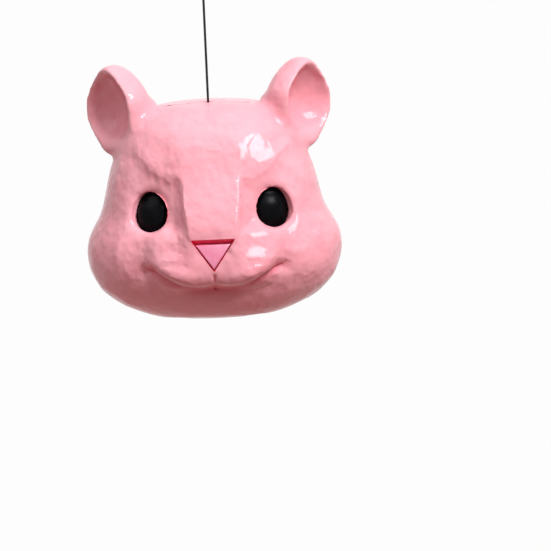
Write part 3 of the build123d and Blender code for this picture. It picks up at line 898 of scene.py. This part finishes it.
def finer_front(piece):
    """Divides the faces of the front, where the carving is fine."""
    bm = bmesh.new()
    bm.from_mesh(piece.data)
    low, high = FINE_DROPS
    picked = set()
    for face in bm.faces:
        middle = face.calc_center_median() * MM
        middle.z -= CROWN * MM
        ahead = middle.y < FINE_FRONT and face.normal.y < FINE_WAY
        if ahead and abs(middle.x) < FINE_HALF and low < middle.z < high:
            picked.update(face.edges)
    edges = [edge for edge in bm.edges if edge in picked]
    bmesh.ops.subdivide_edges(bm, edges=edges, cuts=1, use_grid_fill=True)
    bmesh.ops.triangulate(bm, faces=[face for face in bm.faces if len(face.verts) > 4])
    bm.to_mesh(piece.data)
    bm.free()


def face_skin():
    """The front half and its ears as one skin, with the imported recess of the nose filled."""
    bm = merged(["face_shell", *EARS])
    filling = new_piece("nose_filling", nose_block(NOSE_FILL), enamel)
    bm.from_mesh(filling.data)
    bpy.data.objects.remove(filling)
    piece = skin("carved_face", bm, FACE_VOXEL, enamel)
    finer_front(piece)
    return piece


def mark_face(carving, pocket):
    """Paints highlight on the crests, shade in the hollows and under the upper lip, the joint line, shade
    in the wire hole and the nose's recess.
    """
    bend = carving.bends()
    x, y, z = carving.points.T
    across = np.abs(x)
    ear = step(*NEAR_EAR, carving.gap_to(EARS))
    # Painted shade under the upper lip, along the line of the mouth
    lip = LIP_SHADE * mound(above_mouth(carving.points), *LIP_SHADE_LINE)
    lip = lip * step(*LIP_SHADE_END, across) * (y < CHIN_FRONT)
    width = np.where((x < 0) & (z > SEAM_WIDE_FOOT), *SEAM_WIDTHS)
    seam = step(-width, SEAM_SOFT - width, y) * step(width, width - SEAM_SOFT, y)
    seam = seam * (1 - ear) * ((across < SEAM_CROWN_HALF) | (z < SEAM_SIDE_TOP))
    # The crest mark is painted highlight, lighter on ridges
    carving.mark("ridge_highlight", bend * RIDGE_HIGHLIGHT_GAIN * (1 - pocket))
    # The hollow mark is painted shade, darker in creases and under the upper lip
    carving.mark("hollow", np.maximum(-bend * FACE_CREASE_SHADE_GAIN, lip))
    # The groove mark is the dark joint line, and painted shade in the wire hole
    carving.mark("joint_line_and_hole_shade", np.maximum(seam, wire_hole_shade(carving)))
    carving.mark("nose_pocket", pocket)


def carved_face():
    piece = face_skin()
    carving = Carving(piece)
    front = carving.shown((0, -1, 0))
    outside = np.any([front] + [carving.shown(way) for way in FACE_SIDES], 0)
    x, y, z = carving.points.T
    across = np.abs(x)
    from_ears = carving.gap_to(EARS)
    from_skull = carving.gap_to(["face_shell"])
    ear = step(*NEAR_EAR, from_ears)
    face_front = front & (ear < 0.5)
    socket_across, socket_up = SOCKET_HALVES
    from_eye = np.hypot((across - EYE_ACROSS) / socket_across, (z - EYE_DROP) / socket_up)
    nose_low, nose_high = NOSE_ROOM_DROPS
    in_nose = (across < NOSE_ROOM_HALF) & (z < nose_high) & (z > nose_low)

    # The muzzle's lobes and the bridge run into the skull, and the ears' roots into the crown
    soft = front * step(*SOFT_EYE, from_eye) * step(*SOFT_FOOT, z) * step(*SOFT_END, across) * (1 - ear)
    crown = outside * (1 - ear) * step(*CROWN_FOOT, z) * step(*CROWN_FRONT, y)
    roots = outside * mound(from_ears, *ROOT_REACH) * mound(from_skull, *ROOT_REACH) * step(*ROOT_FRONT, y)
    carving.ease(np.clip(np.maximum(np.maximum(soft, crown), roots), 0, 1), SOFT_ROUNDS)
    carving.face()

    carve_forehead(carving, face_front)
    carve_muzzle(carving, face_front)
    carve_mouth(carving, face_front)
    for side in (LEFT, RIGHT):
        carve_ear(carving, outside, from_ears, side)
    joint = np.maximum(front, outside * step(*ROOT_FRONT, y))
    joint = joint * mound(from_ears, *JOINT_REACH) * mound(from_skull, *JOINT_REACH)
    carving.ease(np.clip(JOINT_EASE * joint, 0, 1), JOINT_ROUNDS)
    carving.ease(EAR_EASE * ear, EAR_ROUNDS)
    carving.face()

    # Broad facets on the sides and the brow, then small chisel nicks
    facets = outside * (1 - ear) * step(*FACET_EYE, from_eye) * step(*CUT_FRONT, y)
    facets = facets * np.maximum(step(*FACET_SIDE, across), step(*FACET_FOOT, z)) * step(*FACET_TOP, z)
    carving.chisel(facets, gap=12, depth=0.7, bite=0.4, seed=3)
    soft_brow = face_front * mound(x, *SOFT_BROW_ACROSS) * mound(z, *SOFT_BROW_DROP)
    carving.ease(soft_brow, SOFT_BROW_ROUNDS)
    carving.face()
    nicks = outside * step(*NICK_EYE, from_eye) * step(*CUT_FRONT, y)
    nicks = nicks * (across > NICK_INNER) * step(*NICK_TOP, z)
    nicks[in_nose] = 0
    carving.chisel(nicks, gap=4.6, depth=0.25, bite=0.55, seed=8)
    carving.face()
    carving.ease(np.full(len(x), LIGHT_EASE), 2)
    socket_edge = face_front * step(*SOCKET_EDGE_INNER, from_eye) * step(*SOCKET_EDGE_OUTER, from_eye)
    carving.ease(socket_edge, SOCKET_ROUNDS)
    round_neck(carving)
    squat_eye(carving, "left_eye", LEFT)
    squat_eye(carving, "right_eye", RIGHT)
    carving.face()

    cut_carving, pocket = cut_nose_pocket(piece)
    mark_face(cut_carving, pocket)
    return piece


face = smooth(carved_face())
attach(face, "head")
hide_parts("face_shell", "left_ear", "right_ear")

nose_plug()
glass_eye("left_eye", LEFT)
glass_eye("right_eye", RIGHT)


# Back of the head

BACK_VOXEL = 0.0015
BACK_SIDES = [(0, 1, 0.2), (0, 0.3, 1), (1, 0.3, 0.1), (-1, 0.3, 0.1)]
BACK_START = (2, 9)
BACK_FOOT = (-118, -100)
BACK_FOOT_SLOPE = 0.4
BACK_TOP = (-12, -28)
BACK_SEAM = (0.7, 0.3)
BACK_CREASE_SHADE_GAIN = 7


def carved_back():
    """The rear half, cut in broad flat facets."""
    piece = skin("carved_back", merged(["back_shell"]), BACK_VOXEL, enamel)
    carving = Carving(piece)
    outside = np.any([carving.shown(way) for way in BACK_SIDES], 0)
    x, y, z = carving.points.T
    facets = outside * step(*BACK_START, y) * step(*BACK_FOOT, z + BACK_FOOT_SLOPE * y) * step(*BACK_TOP, z)
    carving.chisel(facets, gap=17, depth=0.9, bite=0.5, seed=5)
    carving.face()
    carving.ease(np.full(len(x), LIGHT_EASE), 2)
    round_neck(carving)
    carving.face()
    bend = carving.bends()
    # The crest mark is painted highlight, lighter on ridges
    carving.mark("ridge_highlight", bend * RIDGE_HIGHLIGHT_GAIN)
    # The hollow mark is painted shade, darker in the creases between facets
    carving.mark("hollow", -bend * BACK_CREASE_SHADE_GAIN)
    # The groove mark is the dark joint line, and painted shade in the wire hole
    carving.mark("joint_line_and_hole_shade", np.maximum(step(*BACK_SEAM, y) * outside, wire_hole_shade(carving)))
    carving.mark("nose_pocket", np.zeros(len(x)))
    return piece


back = smooth(carved_back())
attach(back, "head")
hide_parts("back_shell")


# Ferrule, whose rings are a share of its length and a share of its full size

FERRULE_RINGS = [
    (0.00, 0.84), (0.04, 0.96), (0.10, 1.00), (0.22, 1.00), (0.28, 0.88), (0.36, 0.88), (0.42, 1.00),
    (0.58, 1.00), (0.64, 0.88), (0.72, 0.88), (0.78, 1.00), (0.90, 1.00), (0.96, 0.96), (1.00, 0.84),
]
FERRULE_WALL = 0.00085
FERRULE_FLATNESS = 0.8
FERRULE_CRISP = 50


def crimped_ferrule():
    """An oval sleeve with two crimped waists."""
    low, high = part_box("loop_ferrule")
    middle = (low + high) / 2
    half = (high - low) / 2
    length = high.z - low.z
    rings = [(share, half.x * grow, half.y * grow) for share, grow in FERRULE_RINGS]
    rings = rings + [(share, half.x - FERRULE_WALL, half.y - FERRULE_WALL) for share in (1.0, 0.0)]
    bm = bmesh.new()
    loops = []
    for share, wide, deep in rings:
        made = bmesh.ops.create_circle(bm, cap_ends=False, segments=40, radius=1)["verts"]
        for vertex in made:
            x = math.copysign(abs(vertex.co.x) ** FERRULE_FLATNESS, vertex.co.x)
            vertex.co = (middle.x + wide * x, middle.y + deep * vertex.co.y, low.z + share * length)
        loops.append(list(dict.fromkeys(edge for vertex in made for edge in vertex.link_edges)))
    for first, second in zip(loops, loops[1:] + loops[:1]):
        bmesh.ops.bridge_loops(bm, edges=first + second)
    bmesh.ops.recalc_face_normals(bm, faces=bm.faces)
    piece = smooth(new_piece("crimped_ferrule", bm, ferrule_metal), FERRULE_CRISP)
    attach(piece, "wire")
    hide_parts("loop_ferrule")
    return piece


ferrule = crimped_ferrule()


# The wire, on the route of its solid

WIRE_DIAMETER = 0.0015
wire_route = [
    (0, 0, -0.16385),
    (0, 0, -0.07645),
    (0, 0, -0.06615),
    (-0.005, 0, -0.05715),
    (-0.005, 0, -0.04715),
    (0.005, 0, -0.04715),
    (0.005, 0, -0.05715),
    (0.00158, 0, -0.06615),
    (0.00158, 0, -0.07915),
]
line = bpy.data.curves.new("hanging_wire_line", "CURVE")
line.dimensions = "3D"
spline = line.splines.new("NURBS")
spline.points.add(len(wire_route) - 1)
for point, place in zip(spline.points, wire_route):
    point.co = (*place, 1)
spline.order_u = 3
spline.use_endpoint_u = True
line.resolution_u = 16
line.bevel_depth = WIRE_DIAMETER / 2
line.bevel_resolution = 4
line.use_fill_caps = True
line.materials.append(wire_paint)
wire = bpy.data.objects.new("hanging_wire_line", line)
scene.collection.objects.link(wire)
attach(wire, "wire")
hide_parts("hanging_wire")

for name, material in {
    "left_eye_cap": cap_plastic,
    "right_eye_cap": cap_plastic,
    "nose_push_nut": spring_steel,
    "shell_screws": zinc,
    "ear_screws": zinc,
    "hanger_washer": cup_plastic,
    "stop_ball": zinc,
    "food_cup": cup_plastic,
    "s_hook": zinc,
}.items():
    slots = nodes[name].data.materials
    slots.clear()
    slots.append(material)


# Floor, light and the white around

AMBIENT = 0.22
FLOOR_HALF = 60
FLOOR_COLOUR = (0.8, 0.4, 0.33, 1)
FLOOR_WHITE = 0.98
HEAD_MIDDLE = Vector((0, 0, -0.21))


def seen_directly(finish):
    """1 for rays of the camera, of reflections and through clear things, and 0 for the rest."""
    camera_ray = finish.node("LightPath", output="Is Camera Ray")
    glossy_ray = finish.node("LightPath", output="Is Glossy Ray")
    clear_ray = finish.node("LightPath", output="Is Transmission Ray")
    return camera_ray.or_more(glossy_ray).or_more(clear_ray)


def white_around():
    """A world that is white where it is seen, and lights softly."""
    world = bpy.data.worlds.new("studio")
    scene.world = world
    finish = Finish(world, "Background")
    levels = {"Value": seen_directly(finish), "To Min": AMBIENT, "To Max": 1}
    finish.dress(Color=(1, 1, 1, 1), Strength=finish.node("MapRange", sockets=levels))


def floor_paint():
    """A warm matt floor, nearly white where it is seen."""
    finish = new_finish("floor")
    finish.dress(Base_Color=FLOOR_COLOUR, Roughness=0.9)
    matt = Shade(finish, finish.shader.outputs[0])
    glow = finish.node("Emission")
    mix = finish.node("MixShader", sockets={0: seen_directly(finish) * FLOOR_WHITE, 1: matt, 2: glow})
    finish.feed(finish.tree.nodes["Material Output"].inputs["Surface"], mix)
    return finish.owner


def lamp(name, place, size, power):
    data = bpy.data.lights.new(name, "AREA")
    data.shape = "SQUARE"
    data.size = size
    data.energy = power
    made = bpy.data.objects.new(name, data)
    made.location = place
    made.rotation_mode = "QUATERNION"
    made.rotation_quaternion = (HEAD_MIDDLE - Vector(place)).to_track_quat("-Z", "Y")
    scene.collection.objects.link(made)


white_around()

ground = bmesh.new()
ground_place = Matrix.Translation((0, 0, FLOOR))
bmesh.ops.create_grid(ground, x_segments=8, y_segments=8, size=FLOOR_HALF, matrix=ground_place)
floor = new_piece("floor", ground, floor_paint())

lamp("key", place=(0.8, -0.86, 0.95), size=0.7, power=29)
lamp("fill", place=(-1.1, -0.9, 1.2), size=1.2, power=7)
lamp("sky", place=(-0.5, 0.1, 1.7), size=1.6, power=8)
